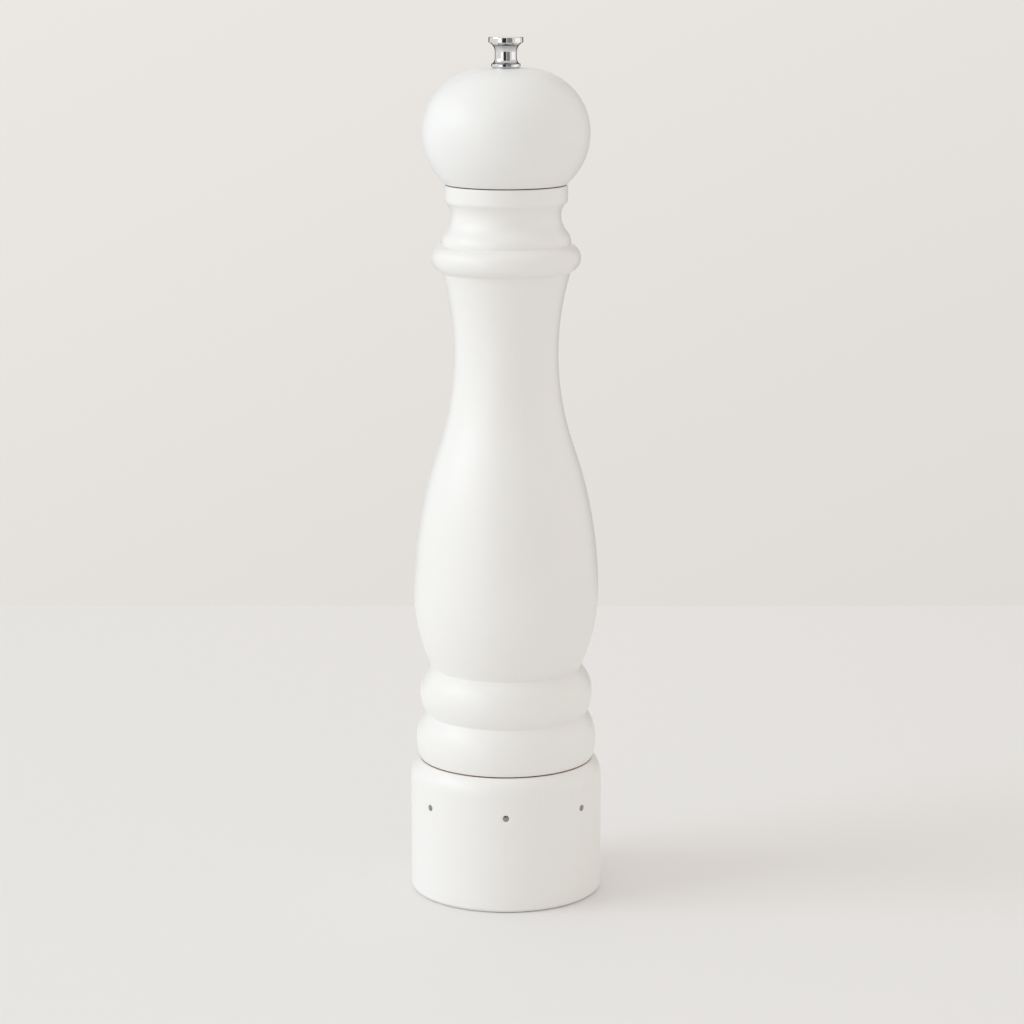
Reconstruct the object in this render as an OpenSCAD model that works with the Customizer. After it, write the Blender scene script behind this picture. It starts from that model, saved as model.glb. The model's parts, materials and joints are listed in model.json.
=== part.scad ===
// Pepper mill in turned wood. The head turns a grinding cone on a spindle, and
// the base ring raises or lowers the toothed ring around the cone to set the grind.
// Millimetres, +Z up. The origin is on the mill's axis, on the plane it stands on.
// A profile is a list of [radius, height] points that is turned about Z.

/* [Base ring] */
// Outer radius of the base ring
base_r = 33.7; // [33.2:0.1:35]
// Height of the base ring
base_h = 47.75; // [47.5:0.05:48]
// Height at which the base ring's shoulder starts
shoulder_z = 41.2; // [38:0.1:44]
// Radius of the base ring's top edge
shoulder_r = 30.8; // [30.4:0.1:32]
// Rounding of the foot's outer edge
foot_round = 1.6; // [0.5:0.1:2.5]
// Height of the setting marks
mark_z = 34.2; // [30:0.1:36]
// Radius of a setting mark
mark_r = 1.12; // [0.8:0.02:1.5]
// Turn of the base ring from one grind setting to the next, in degrees
setting_pitch = 52; // [45:1:56]
// Number of grind settings
settings = 6; // [4:1:6]

/* [Body] */
// Radius of the body at the seam above the base ring
seam_r = 30.5; // [30:0.1:31]
// Radius of the lower bead
lower_bead_r = 31.7; // [31:0.1:33]
// Height of the lower bead's crest
lower_bead_z = 54.5; // [53:0.1:56]
// Radius of the groove between the beads
bead_groove_r = 28.4; // [27.5:0.1:29]
// Height of the groove between the beads
bead_groove_z = 64.3; // [63:0.1:65]
// Radius of the upper bead
upper_bead_r = 30.3; // [29.5:0.1:31]
// Height of the upper bead's crest
upper_bead_z = 71.3; // [70:0.1:73]
// Radius of the groove under the belly
belly_groove_r = 26.3; // [25.5:0.1:27]
// Height of the groove under the belly
belly_groove_z = 80.8; // [80:0.1:82]
// Radius of the belly
belly_r = 32.35; // [31:0.05:33.5]
// Height of the belly's widest point
belly_z = 108.3; // [104:0.1:112]
// Radius of the neck
neck_r = 18.15; // [17.5:0.05:20]
// Height of the neck's narrowest point
neck_z = 191.8; // [188:0.1:195]
// Share of the height from belly to neck that bulges outwards
belly_share = 0.6; // [0.4:0.01:0.7]

/* [Collar] */
// Radius of the collar bead
collar_r = 25.85; // [25:0.05:27]
// Height of the collar bead's crest
collar_z = 224.8; // [224:0.1:225.5]
// Rounding of the collar bead
collar_round = 5; // [4.5:0.1:5]
// Radius of the step above the collar bead
step_r = 22.5; // [22:0.1:23]
// Radius of the cove under the top band
cove_r = 18.97; // [18.5:0.01:19.5]
// Height of the cove's narrowest point
cove_z = 239.5; // [238.5:0.1:240]
// Radius of the top band
band_r = 21.3; // [21:0.1:22]
// Height of the top band
band_h = 5; // [4.5:0.1:5.5]
// Height of the body's top face
body_top = 249.8; // [249.6:0.1:250]

/* [Head] */
// Radius of the head
head_r = 28.9; // [27:0.1:30]
// Height of the head's widest point
head_z = 267.5; // [266:0.1:269]
// Height of the head's flat top
head_top = 289.3; // [288:0.1:290]
// Radius of the head's flat top
head_flat_r = 7.1; // [6.5:0.1:8]

/* [Knob] */
// Height of the knob, its washer left out
knob_h = 10.3; // [10.2:0.1:11]
// Radius of the knob's disc
knob_r = 5.95; // [5.5:0.05:7]
// Radius of the knob's waist
knob_waist_r = 3.75; // [3.5:0.05:4.2]
// Radius of the knob's foot
knob_foot_r = 5; // [4.7:0.1:5.5]

/* [Grinder] */
// Radius of the chamber that holds the peppercorns
chamber_r = 13; // [12:0.1:13.5]
// Side of the square spindle
spindle_side = 5; // [4.6:0.1:5]
// Widest radius of the grinding cone
cone_foot_r = 12.5; // [12:0.1:12.6]
// Radius of the grinding cone at the throat, its narrowest gap
throat_r = 10.5; // [10:0.1:10.6]
// Radius of the grinding cone's top
cone_top_r = 5.5; // [5.2:0.1:6]
// Gap between the cone and the toothed ring at the rest setting
grind_gap = 0.45; // [0.4:0.01:0.6]
// Number of coarse teeth on the cone and on the ring
coarse_teeth = 10; // [8:1:12]
// Number of fine teeth for each coarse one
fine_ratio = 3; // [2:1:3]

/* [Hidden] */
$fn = 96;

white_lacquer = "#f0efeb";
chrome = "#c9cacb";
steel = "#9a9c9e";
hard_steel = "#6f7173";
nylon = "#d8d4c8";
dark_fibre = "#2b2a29";

arc_steps = 12;       // segments on a turned curve
edge_steps = 4;       // segments on a rounded edge
ball_fn = 48;         // facets round a ball
fit_gap = 0.05;       // radial clearance of a running fit
face_gap = 0.05;      // gap between faces that turn past each other
pin_hole_gap = 0.03;  // radial clearance of a fixed pin or screw in its hole
join = 1;             // how far a part's own pieces run into each other
cut = 1;              // how far a cutting shape runs past a face
three_ways = [0, 120, 240];

// Base ring, seam and washer
base_bore_r = 28;
lip_r = 26.3;
lip_h = 7.75;
washer_t = 0.3;
body_bottom = base_h + face_gap + washer_t;
washer_in_r = 27;
washer_out_r = 29.5;

// Body's foot
tenon_r = lip_r - 0.3;
cup_r = 20.4;

// Collar bead, most of a half circle, with the step above it
collar_sweep = 72;
collar_centre = [collar_r - collar_round, collar_z];
collar_arc = [for (i = [0:arc_steps]) let (a = collar_sweep * (2 * i / arc_steps - 1))
  collar_centre + collar_round * [cos(a), sin(a)]];
collar_start = collar_arc[0];
step_z = collar_arc[arc_steps][1] + 0.45;
cove_share = 0.4;

// Top band, with a chamfer below and a rounded edge above
band_bottom = body_top - band_h;
band_lead = [0.2, 0.8];
band_round = 0.4;

// Bush in the body's mouth, and the head's tenon in it
bush_out_r = 15.5;
bush_drop_in = 0.2;
bush_l = 14.6;
bush_top = body_top - bush_drop_in;
bush_bottom = bush_top - bush_l;
head_tenon_r = 14;
head_tenon_bottom = bush_bottom + 1;
bush_in_r = head_tenon_r + 2 * fit_gap;
head_bottom = body_top + 0.3;
head_edge = 0.5;
head_edge_r = 21.5;

// Drive plate, screwed under the head's tenon
plate_top = head_tenon_bottom;
plate_t = 1.6;
plate_r = 12.5;
plate_screw_circle = 9;
plate_screw_r = 1;
plate_screw_l = 8;
plate_screw_head = [1.9, 1.2];

// Knob: a foot, a waist and a bevelled disc over a blind threaded bore
knob_bottom = head_top + 0.4;
knob_top = knob_bottom + knob_h;
knob_foot_edge = 0.2;
knob_foot_h = 0.9;
knob_foot_neck = [knob_foot_r - 0.15, knob_bottom + 1.1];
knob_waist_bottom = knob_bottom + 2.8;
knob_disc_bottom = knob_top - 1.8;
knob_bevel = [1.05, 0.8];
knob_waist_top = knob_disc_bottom - 3.4;
knob_edge = 0.5;
knob_cap_t = 2;
knob_washer_margin = 0.4;

// Mechanism housing: a flange under the body's tenon and a collar in its cup
flange_t = 1.6;
flange_top = base_h - lip_h - 0.2;
flange_bottom = flange_top - flange_t;
flange_r = 27.6;
collar_out_r = 20.2;
collar_in_r = 18.5;
collar_top = flange_top + 20.2;
guide_t = 2.15;
cup_top = collar_top + guide_t + face_gap;
slot_w = 7;
slot_in_r = 16.5;
slot_out_r = 20.4;
slot_top = flange_top + 11;
housing_screw_circle = 22.9;
housing_screw_r = 1.05;
housing_screw_head_r = 2;
housing_screw_l = 10;
screw_slot_w = 0.5;
screw_slot_depth = 0.4;
screw_slot_l = 2.6;
hole_spare = 1;      // how much deeper a screw's hole is than the screw

// Upper guide and the spindle's bush
hub_r = 6.3;
hub_bore_r = 4.55;
arm_w = 3;
guide_rim_r = cup_r - 0.1;
bush_body_r = hub_bore_r - fit_gap;
bush_flange_r = 5.8;
bush_flange_t = 1.15;
bush_flange_z = collar_top + guide_t + face_gap;
bush_drop = 4;
thrust_pin_r = 1;
thrust_pin_l = 11;
thrust_pin_z = bush_flange_z + bush_flange_t + thrust_pin_r + face_gap;

// Spindle
square_hole = spindle_side + 2 * fit_gap;
journal_r = 2.5;
journal_bottom = 8.5;
square_bottom = 12.9;
square_top = 246;
spindle_top = 297;
loose_square = spindle_side + 0.2;
head_square_bore_r = 4;
head_round_bore_r = 3;
head_bore_step = 247;
knob_bore_r = journal_r + fit_gap;

// Grinding cone and toothed ring
cone_bottom = 13;
throat_z = 18;
cone_top = 34;
cone_hub_r = 4.5;
cone_hub_top = 37;
rotor_pin_r = 0.9;
rotor_pin_z = 35.4;
rotor_pin_l = 8.8;
coarse_depth = 1.5;
fine_depth = 0.6;
top_depth = 0.3;       // depth of the coarse teeth at the cone's top
fine_teeth = coarse_teeth * fine_ratio;
tooth_twist = 3;       // degrees of helix for each millimetre of height
tooth_rise = 0.75;     // share of a tooth's pitch that rises to its crest
tooth_samples = 12;    // points across one coarse tooth
grid_n = coarse_teeth * tooth_samples;
throat_land = 0.5;     // height in which fine teeth change to coarse ones
cone_throat_step = 0.15;
ring_throat_step = 0.1;
cone_rows = 6;
ring_rows = 5;
ring_outer_r = 18;
ring_top = 31;
ring_mouth_r = 14.5;

// Carrier, bridge and adjuster
carrier_bottom = 11.4;
carrier_top = 30;
carrier_r = 22;
carrier_bore_r = ring_outer_r + fit_gap;
carrier_ledge_r = 15.5;
tab_in_r = 18.6;
tab_out_r = 20.1;
tab_w = 6.6;
tab_top = 48;
bridge_t = 1.8;
bridge_w = 12;
bridge_r = 21.7;
bridge_bottom = carrier_bottom - bridge_t;
bridge_screw_circle = 20;
bridge_screw_r = 0.9;
bridge_screw_l = 4;
bridge_screw_head = [1.7, 1];
nut_bottom = 8;
nut_top = flange_bottom - 0.2;
nut_r = base_bore_r - fit_gap;
nut_mouth_r = 22.8;
nut_mouth_h = 2;
nut_relief_z = 24;
nut_relief_r = 23.5;
mark_in_r = 25.2;
mark_out_r = base_r - 0.12;
mark_hole_in_r = mark_in_r - 0.1;

// Springs and detent
carrier_wire_r = 0.7;
carrier_coil_r = 21.2;
carrier_turns = 3;
coil_steps = 20;
detent_circle = 25.9;
detent_angle = 94;
dimple_rise = 0.2;     // height of a dimple's centre above the flange's lower face
ball_r = 1;
detent_depth = 6.5;
detent_wire_r = 0.16;
detent_coil_r = 0.72;
detent_turns = 5;
detent_coil_steps = 12;
detent_coil_sides = 6;
ball_seat = 0.75;      // how far below the ball's centre its spring ends
ball_z = flange_bottom - face_gap - ball_r;
pocket_r = ball_r + fit_gap;
setting_angles = [for (k = [0:settings - 1]) setting_pitch * (k - 2)];
mark_angles = [for (a = setting_angles) a - setting_pitch - 90];

// Points of an arc from p to q that stands upright, parallel to the axis, at q
function upright(p, q, n = arc_steps) =
  let (
    dr = q[0] - p[0],
    dz = q[1] - p[1],
    rho = (dr * dr + dz * dz) / (2 * abs(dr)),
    start = -asin(dz / rho)
  )
  [for (i = [0:n]) let (t = start * (1 - i / n)) [
    q[0] - sign(dr) * rho * (1 - cos(t)),
    q[1] + rho * sin(t)
  ]];

function reversed(points) = [for (i = [len(points) - 1:-1:0]) points[i]];
function after_first(points) = [for (i = [1:len(points) - 1]) points[i]];

// A curve from low to high that swells to, or sinks to, the upright point between
function crown(low, between, high) =
  concat(upright(low, between), after_first(reversed(upright(high, between))));

// Two arcs that meet smoothly, upright at p and at q, with the bend at a share of the way
function s_curve(p, q, share) =
  let (bend = p + (q - p) * share)
  concat(reversed(upright(bend, p)), after_first(upright(bend, q)));

function round_edge(centre, r, from, to) =
  [for (i = [0:edge_steps]) let (a = from + (to - from) * i / edge_steps)
    centre + r * [cos(a), sin(a)]];

module turned(profile) {
  rotate_extrude() polygon(profile);
}

module ring(inner_r, outer_r, bottom, top) {
  translate([0, 0, bottom])
    difference() {
      cylinder(h = top - bottom, r = outer_r);
      translate([0, 0, -cut]) cylinder(h = top - bottom + 2 * cut, r = inner_r);
    }
}

module post(r, bottom, top) {
  translate([0, 0, bottom]) cylinder(h = top - bottom, r = r);
}

module square_post(side, bottom, top) {
  translate([-side / 2, -side / 2, bottom]) cube([side, side, top - bottom]);
}

// The slot in a screw's face: it is cut upwards from that height
module screw_slot(length, face_z) {
  translate([-length / 2, -screw_slot_w / 2, face_z - cut])
    cube([length, screw_slot_w, screw_slot_depth + cut]);
}

// A slotted cheese-head screw standing on z = 0, head downwards; head is [radius, height]
module head_down_screw(r, length, head) {
  difference() {
    union() {
      cylinder(h = length, r = r);
      translate([0, 0, -head[1]]) cylinder(h = head[1], r = head[0]);
    }
    screw_slot(2 * (head[0] + cut), -head[1]);
  }
}

// A closed skin over rows of points, each row a ring at one height
module skin(rows) {
  n = len(rows[0]);
  last = len(rows) - 1;
  sides = [for (i = [0:last - 1], j = [0:n - 1]) let (k = (j + 1) % n) each [
    [i * n + j, (i + 1) * n + j, (i + 1) * n + k],
    [i * n + j, (i + 1) * n + k, i * n + k]
  ]];
  floor_face = [for (j = [0:n - 1]) j];
  top_face = [for (j = [n - 1:-1:0]) last * n + j];
  polyhedron([for (row = rows) each row], concat([floor_face, top_face], sides));
}

// Wire coil: a round section carried up a helix, with closed ends
module coil(coil_r, wire_r, turns, bottom, top, steps = coil_steps, sides = 8) {
  n = turns * steps;
  rings = [for (i = [0:n]) let (
      a = 360 * i / steps,
      z = bottom + wire_r + (top - bottom - 2 * wire_r) * i / n
    )
    [for (j = [0:sides - 1]) let (b = 360 * j / sides, r = coil_r + wire_r * cos(b))
      [r * cos(a), r * sin(a), z + wire_r * sin(b)]]];
  points = [for (one = rings) each one];
  faces = [for (i = [0:n - 1], j = [0:sides - 1]) let (k = (j + 1) % sides) each [
    [i * sides + j, (i + 1) * sides + j, (i + 1) * sides + k],
    [i * sides + j, (i + 1) * sides + k, i * sides + k]
  ]];
  start_face = [for (j = [0:sides - 1]) j];
  end_face = [for (j = [sides - 1:-1:0]) n * sides + j];
  polyhedron(points, concat([start_face, end_face], faces));
}

// Saw tooth: 0 at the root, rising to 1 at the crest, then a steep fall
function tooth(j, teeth) =
  let (u = (j * teeth / grid_n) % 1)
  u < tooth_rise ? u / tooth_rise : (1 - u) / (1 - tooth_rise);

// One ring of a toothed surface, cut back from its crest radius by the teeth
function toothed_ring(crest_r, z, teeth, depth, lead) =
  [for (j = [0:grid_n - 1]) let (
      a = 360 * j / grid_n + lead * (z - throat_z),
      r = crest_r + depth * (1 - tooth(j, teeth))
    )
    [r * cos(a), r * sin(a), z]];

function mix(a, b, t) = a + (b - a) * t;

module head() {
  outline = concat(
    [[head_tenon_r, head_tenon_bottom], [head_tenon_r, head_bottom]],
    [[head_edge_r - head_edge, head_bottom]],
    crown([head_edge_r, head_bottom + head_edge], [head_r, head_z], [head_flat_r, head_top]),
    [[head_round_bore_r, head_top], [head_round_bore_r, head_bore_step]],
    [[head_square_bore_r, head_bore_step], [head_square_bore_r, head_tenon_bottom]]
  );
  color(white_lacquer)
    difference() {
      turned(outline);
      at_plate_screws()
        post(plate_screw_r + pin_hole_gap, plate_top - cut, plate_top + plate_screw_l + hole_spare);
    }
}

module body() {
  outline = concat(
    [[tenon_r, flange_top], [tenon_r, body_bottom]],
    crown([seam_r, body_bottom], [lower_bead_r, lower_bead_z], [bead_groove_r, bead_groove_z]),
    after_first(crown([bead_groove_r, bead_groove_z], [upper_bead_r, upper_bead_z],
      [belly_groove_r, belly_groove_z])),
    after_first(upright([belly_groove_r, belly_groove_z], [belly_r, belly_z])),
    after_first(s_curve([belly_r, belly_z], [neck_r, neck_z], belly_share)),
    after_first(reversed(upright(collar_start, [neck_r, neck_z]))),
    after_first(collar_arc),
    s_curve([step_r, step_z], [cove_r, cove_z], cove_share),
    after_first(reversed(upright([band_r, band_bottom] - band_lead, [cove_r, cove_z]))),
    [[band_r, band_bottom]],
    round_edge([band_r - band_round, body_top - band_round], band_round, 0, 90),
    [[bush_out_r, body_top], [bush_out_r, bush_bottom], [chamber_r, bush_bottom]],
    [[chamber_r, cup_top], [cup_r, cup_top], [cup_r, flange_top]]
  );
  color(white_lacquer)
    difference() {
      turned(outline);
      at_housing_screws() post(housing_screw_r + pin_hole_gap, flange_top - cut,
        flange_top + housing_screw_l + hole_spare);
    }
}

module base_ring() {
  outline = concat(
    [[base_bore_r, 0]],
    round_edge([base_r - foot_round, foot_round], foot_round, -90, 0),
    reversed(upright([shoulder_r, base_h], [base_r, shoulder_z])),
    [[lip_r, base_h], [lip_r, base_h - lip_h], [base_bore_r, base_h - lip_h]]
  );
  color(white_lacquer)
    difference() {
      turned(outline);
      for (a = mark_angles) radial_post(a, mark_r + pin_hole_gap, base_bore_r - cut, base_r + cut);
    }
}

// A post that lies level and points away from the axis
module radial_post(angle, r, from, to) {
  rotate([0, 0, angle]) translate([from, 0, mark_z]) rotate([0, 90, 0])
    cylinder(h = to - from, r = r);
}

module setting_pins() {
  color(hard_steel)
    for (a = mark_angles) radial_post(a, mark_r, mark_in_r, mark_out_r);
}

module knob() {
  outline = concat(
    [[knob_bore_r, knob_bottom], [knob_foot_r - knob_foot_edge, knob_bottom]],
    [[knob_foot_r, knob_bottom + knob_foot_edge], [knob_foot_r, knob_bottom + knob_foot_h]],
    upright(knob_foot_neck, [knob_waist_r, knob_waist_bottom]),
    reversed(upright([knob_r, knob_disc_bottom] - knob_bevel, [knob_waist_r, knob_waist_top])),
    [[knob_r, knob_disc_bottom]],
    round_edge([knob_r - knob_edge, knob_top - knob_edge], knob_edge, 0, 90),
    [[0, knob_top], [0, knob_top - knob_cap_t], [knob_bore_r, knob_top - knob_cap_t]]
  );
  color(chrome) turned(outline);
}

module knob_washer() {
  color(steel)
    ring(knob_bore_r + fit_gap, knob_foot_r - knob_washer_margin, head_top, knob_bottom);
}

module neck_bush() {
  color(nylon) ring(bush_in_r, bush_out_r, bush_bottom, bush_top);
}

module at_plate_screws() {
  for (a = three_ways) rotate([0, 0, a]) translate([plate_screw_circle, 0, 0]) children();
}

module drive_plate() {
  color(steel)
    difference() {
      post(plate_r, plate_top - plate_t, plate_top);
      square_post(loose_square, plate_top - plate_t - cut, plate_top + cut);
      at_plate_screws() post(plate_screw_r + pin_hole_gap, plate_top - plate_t - cut, plate_top + cut);
    }
}

module drive_plate_screws() {
  color(hard_steel)
    at_plate_screws() translate([0, 0, plate_top - plate_t])
      head_down_screw(plate_screw_r, plate_t + plate_screw_l, plate_screw_head);
}

module spindle() {
  color(steel)
    difference() {
      union() {
        post(journal_r, journal_bottom, square_bottom);
        square_post(spindle_side, square_bottom, square_top);
        post(journal_r, square_top, spindle_top);
      }
      cross_post(rotor_pin_r + pin_hole_gap, spindle_side + 2 * cut, rotor_pin_z);
      cross_post(thrust_pin_r + pin_hole_gap, spindle_side + 2 * cut, thrust_pin_z);
    }
}

// A post that lies along Y, centred on the axis
module cross_post(r, length, z) {
  translate([0, length / 2, z]) rotate([90, 0, 0]) cylinder(h = length, r = r);
}

module rotor() {
  fine_rows = [for (z = [cone_bottom, throat_z])
    toothed_ring(mix(cone_foot_r, throat_r, (z - cone_bottom) / (throat_z - cone_bottom)) - fine_depth,
      z, fine_teeth, fine_depth, -tooth_twist)];
  coarse_rows = [for (i = [0:cone_rows]) let (
      t = i / cone_rows,
      depth = mix(coarse_depth, top_depth, t)
    )
    toothed_ring(mix(throat_r - cone_throat_step, cone_top_r, t) - depth,
      mix(throat_z + throat_land, cone_top, t), coarse_teeth, depth, tooth_twist)];
  color(hard_steel)
    difference() {
      union() {
        skin(concat(fine_rows, coarse_rows));
        post(cone_hub_r, cone_top - join, cone_hub_top);
      }
      square_post(square_hole, cone_bottom - cut, cone_hub_top + cut);
      cross_post(rotor_pin_r + pin_hole_gap, 2 * (cone_hub_r + cut), rotor_pin_z);
    }
}

module rotor_pin() {
  color(steel) cross_post(rotor_pin_r, rotor_pin_l, rotor_pin_z);
}

module spindle_bush() {
  color(nylon)
    difference() {
      union() {
        post(bush_body_r, collar_top - bush_drop, bush_flange_z + bush_flange_t);
        post(bush_flange_r, bush_flange_z, bush_flange_z + bush_flange_t);
      }
      square_post(square_hole, collar_top - bush_drop - cut, bush_flange_z + bush_flange_t + cut);
    }
}

module thrust_pin() {
  color(steel) cross_post(thrust_pin_r, thrust_pin_l, thrust_pin_z);
}

module upper_guide() {
  arm_l = collar_in_r + join;
  color(nylon)
    difference() {
      union() {
        ring(collar_in_r, guide_rim_r, collar_top, collar_top + guide_t);
        post(hub_r, collar_top, collar_top + guide_t);
        for (a = three_ways) rotate([0, 0, a + 60])
          translate([0, -arm_w / 2, collar_top]) cube([arm_l, arm_w, guide_t]);
      }
      post(hub_bore_r, collar_top - cut, collar_top + guide_t + cut);
    }
}

module at_housing_screws() {
  for (a = three_ways) rotate([0, 0, a + 60]) translate([housing_screw_circle, 0, 0]) children();
}

module countersunk_head(r, head_r) {
  translate([0, 0, flange_bottom]) cylinder(h = flange_t, r1 = head_r, r2 = r);
}

module mechanism_housing() {
  color(steel)
    difference() {
      union() {
        ring(collar_in_r, flange_r, flange_bottom, flange_top);
        ring(collar_in_r, collar_out_r, flange_bottom, collar_top);
      }
      for (a = three_ways) rotate([0, 0, a])
        translate([slot_in_r, -slot_w / 2, flange_bottom - cut])
          cube([slot_out_r - slot_in_r, slot_w, slot_top - flange_bottom + cut]);
      at_housing_screws() {
        post(housing_screw_r + pin_hole_gap, flange_bottom - cut, flange_top + cut);
        countersunk_head(housing_screw_r + pin_hole_gap, housing_screw_head_r + pin_hole_gap);
      }
      for (a = setting_angles) rotate([0, 0, detent_angle + a])
        translate([detent_circle, 0, flange_bottom + dimple_rise]) sphere(r = ball_r, $fn = ball_fn);
    }
}

module housing_screws() {
  color(hard_steel)
    at_housing_screws() difference() {
      union() {
        countersunk_head(housing_screw_r, housing_screw_head_r);
        post(housing_screw_r, flange_bottom + join / 2, flange_top + housing_screw_l);
      }
      screw_slot(screw_slot_l, flange_bottom);
    }
}

module stator() {
  crest_top = ring_mouth_r;
  crest_throat = throat_r + grind_gap;
  crest_bottom = cone_foot_r + grind_gap;
  fine_slope = (crest_bottom - crest_throat) / (throat_z - cone_bottom);
  low_z = cone_bottom - cut;
  fine_rows = [for (z = [low_z, throat_z])
    toothed_ring(crest_throat + fine_slope * (throat_z - z), z, fine_teeth, fine_depth, -tooth_twist)];
  coarse_rows = [for (i = [0:ring_rows]) let (t = i / ring_rows)
    toothed_ring(mix(crest_throat + ring_throat_step, crest_top, t),
      mix(throat_z + throat_land, ring_top + cut, t), coarse_teeth, coarse_depth, -tooth_twist)];
  color(hard_steel)
    difference() {
      post(ring_outer_r, cone_bottom, ring_top);
      skin(concat(fine_rows, coarse_rows));
    }
}

module stator_carrier() {
  color(steel)
    difference() {
      union() {
        ring(carrier_bore_r, carrier_r, carrier_bottom, carrier_top);
        ring(carrier_ledge_r, carrier_r, carrier_bottom, cone_bottom);
        for (a = three_ways) rotate([0, 0, a]) intersection() {
          ring(tab_in_r, tab_out_r, carrier_top - join, tab_top);
          translate([0, -tab_w / 2, carrier_top - join]) cube([tab_out_r + cut, tab_w, tab_top]);
        }
      }
      at_bridge_screws() post(bridge_screw_r + pin_hole_gap, carrier_bottom - cut,
        carrier_bottom + bridge_screw_l + hole_spare);
    }
}

module at_bridge_screws() {
  for (side = [-1, 1]) translate([side * bridge_screw_circle, 0, 0]) children();
}

module lower_bridge() {
  color(steel)
    difference() {
      intersection() {
        post(bridge_r, bridge_bottom, carrier_bottom);
        translate([-bridge_r, -bridge_w / 2, bridge_bottom - cut])
          cube([2 * bridge_r, bridge_w, bridge_t + 2 * cut]);
      }
      post(journal_r + fit_gap, bridge_bottom - cut, carrier_bottom + cut);
      at_bridge_screws()
        post(bridge_screw_r + pin_hole_gap, bridge_bottom - cut, carrier_bottom + cut);
    }
}

module bridge_screws() {
  color(hard_steel)
    at_bridge_screws() translate([0, 0, bridge_bottom])
      head_down_screw(bridge_screw_r, bridge_t + bridge_screw_l, bridge_screw_head);
}

module carrier_spring() {
  color(steel)
    coil(carrier_coil_r, carrier_wire_r, carrier_turns, carrier_top + face_gap,
      flange_bottom - face_gap);
}

// Plastic nut, pinned in the base ring, whose bore lifts the carrier
module adjuster_nut() {
  color(nylon)
    difference() {
      post(nut_r, nut_bottom, nut_top);
      post(nut_mouth_r, nut_bottom - cut, nut_bottom + nut_mouth_h);
      post(carrier_r + fit_gap, nut_bottom + cut, nut_top + cut);
      post(nut_relief_r, nut_relief_z, nut_top + cut);
      for (a = mark_angles) radial_post(a, mark_r + pin_hole_gap, mark_hole_in_r, nut_r + cut);
      at_detent() post(pocket_r, nut_top - detent_depth, nut_top + cut);
    }
}

module at_detent() {
  rotate([0, 0, detent_angle]) translate([detent_circle, 0, 0]) children();
}

module slip_washer() {
  color(dark_fibre) ring(washer_in_r, washer_out_r, body_bottom - washer_t, body_bottom);
}

module detent_ball() {
  color(steel) at_detent() translate([0, 0, ball_z]) sphere(r = ball_r, $fn = ball_fn);
}

module detent_spring() {
  color(steel)
    at_detent() coil(detent_coil_r, detent_wire_r, detent_turns, nut_top - detent_depth,
      ball_z - ball_seat, detent_coil_steps, detent_coil_sides);
}

head();
body();
base_ring();
setting_pins();
knob();
knob_washer();
neck_bush();
drive_plate();
drive_plate_screws();
spindle();
rotor();
rotor_pin();
spindle_bush();
thrust_pin();
upper_guide();
mechanism_housing();
housing_screws();
stator();
stator_carrier();
lower_bridge();
bridge_screws();
carrier_spring();
adjuster_nut();
slip_washer();
detent_ball();
detent_spring();
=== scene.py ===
# %% [markdown]
# # A turned wooden pepper mill
# The mill is a work of the lathe: a head, a long body and a base ring in white satin
# lacquer, with a small chromed knob on top and a steel grinder in the foot. The model
# comes from CAD as a fixed frame that says where each part is and how it moves. This
# lesson makes the surfaces that are seen: each one is a formula on a grid of numbers.

# %% Load the frame
import json

import bpy
import numpy as np
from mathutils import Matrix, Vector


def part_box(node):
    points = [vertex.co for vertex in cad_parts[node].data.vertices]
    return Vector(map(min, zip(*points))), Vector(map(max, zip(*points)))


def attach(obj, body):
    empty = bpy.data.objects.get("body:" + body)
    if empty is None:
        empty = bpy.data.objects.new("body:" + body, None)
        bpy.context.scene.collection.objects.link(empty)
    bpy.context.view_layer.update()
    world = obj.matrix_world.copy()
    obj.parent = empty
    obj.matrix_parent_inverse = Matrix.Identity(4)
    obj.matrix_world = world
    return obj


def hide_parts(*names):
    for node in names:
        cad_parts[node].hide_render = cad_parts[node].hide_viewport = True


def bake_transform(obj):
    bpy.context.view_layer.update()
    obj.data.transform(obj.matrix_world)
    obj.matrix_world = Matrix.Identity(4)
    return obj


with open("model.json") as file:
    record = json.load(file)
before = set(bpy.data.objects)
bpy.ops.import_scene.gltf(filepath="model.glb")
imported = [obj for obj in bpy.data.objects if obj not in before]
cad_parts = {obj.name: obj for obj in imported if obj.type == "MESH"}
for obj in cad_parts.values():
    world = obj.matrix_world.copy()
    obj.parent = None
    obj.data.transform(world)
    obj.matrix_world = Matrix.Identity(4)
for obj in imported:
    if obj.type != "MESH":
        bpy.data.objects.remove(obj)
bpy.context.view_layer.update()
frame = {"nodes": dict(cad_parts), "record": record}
nodes = frame["nodes"]
MM = 0.001

# %% [markdown]
# Every station along the axis that another part also needs is read from the frame, so a
# turned piece meets its neighbours without fitting. The rest are the turner's own sizes.
# Lathe work is thought out in millimetres, so the outlines are too, and each mesh is
# brought to metres at the end.

# %% Heights and radii from the frame, in millimetres


def low(node):
    """Lowest corner of a CAD node, in millimetres."""
    return np.array(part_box(node)[0]) / MM


def high(node):
    """Highest corner of a CAD node, in millimetres."""
    return np.array(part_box(node)[1]) / MM


base_r = high("base_ring")[0]
base_top = high("base_ring")[2]
body_top = high("body")[2]
body_bottom = high("slip_washer")[2]
tenon_bottom = low("body")[2]
head_r = high("head")[0]
head_top = high("head")[2]
plate_top = high("drive_plate")[2]
bush_r = high("neck_bush")[0]
bush_bottom = low("neck_bush")[2]
head_bottom = body_top + 0.3
print(f"base ring {2 * base_r:.1f} wide, {base_top:.2f} high; body ends at {body_top:.1f}")

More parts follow.
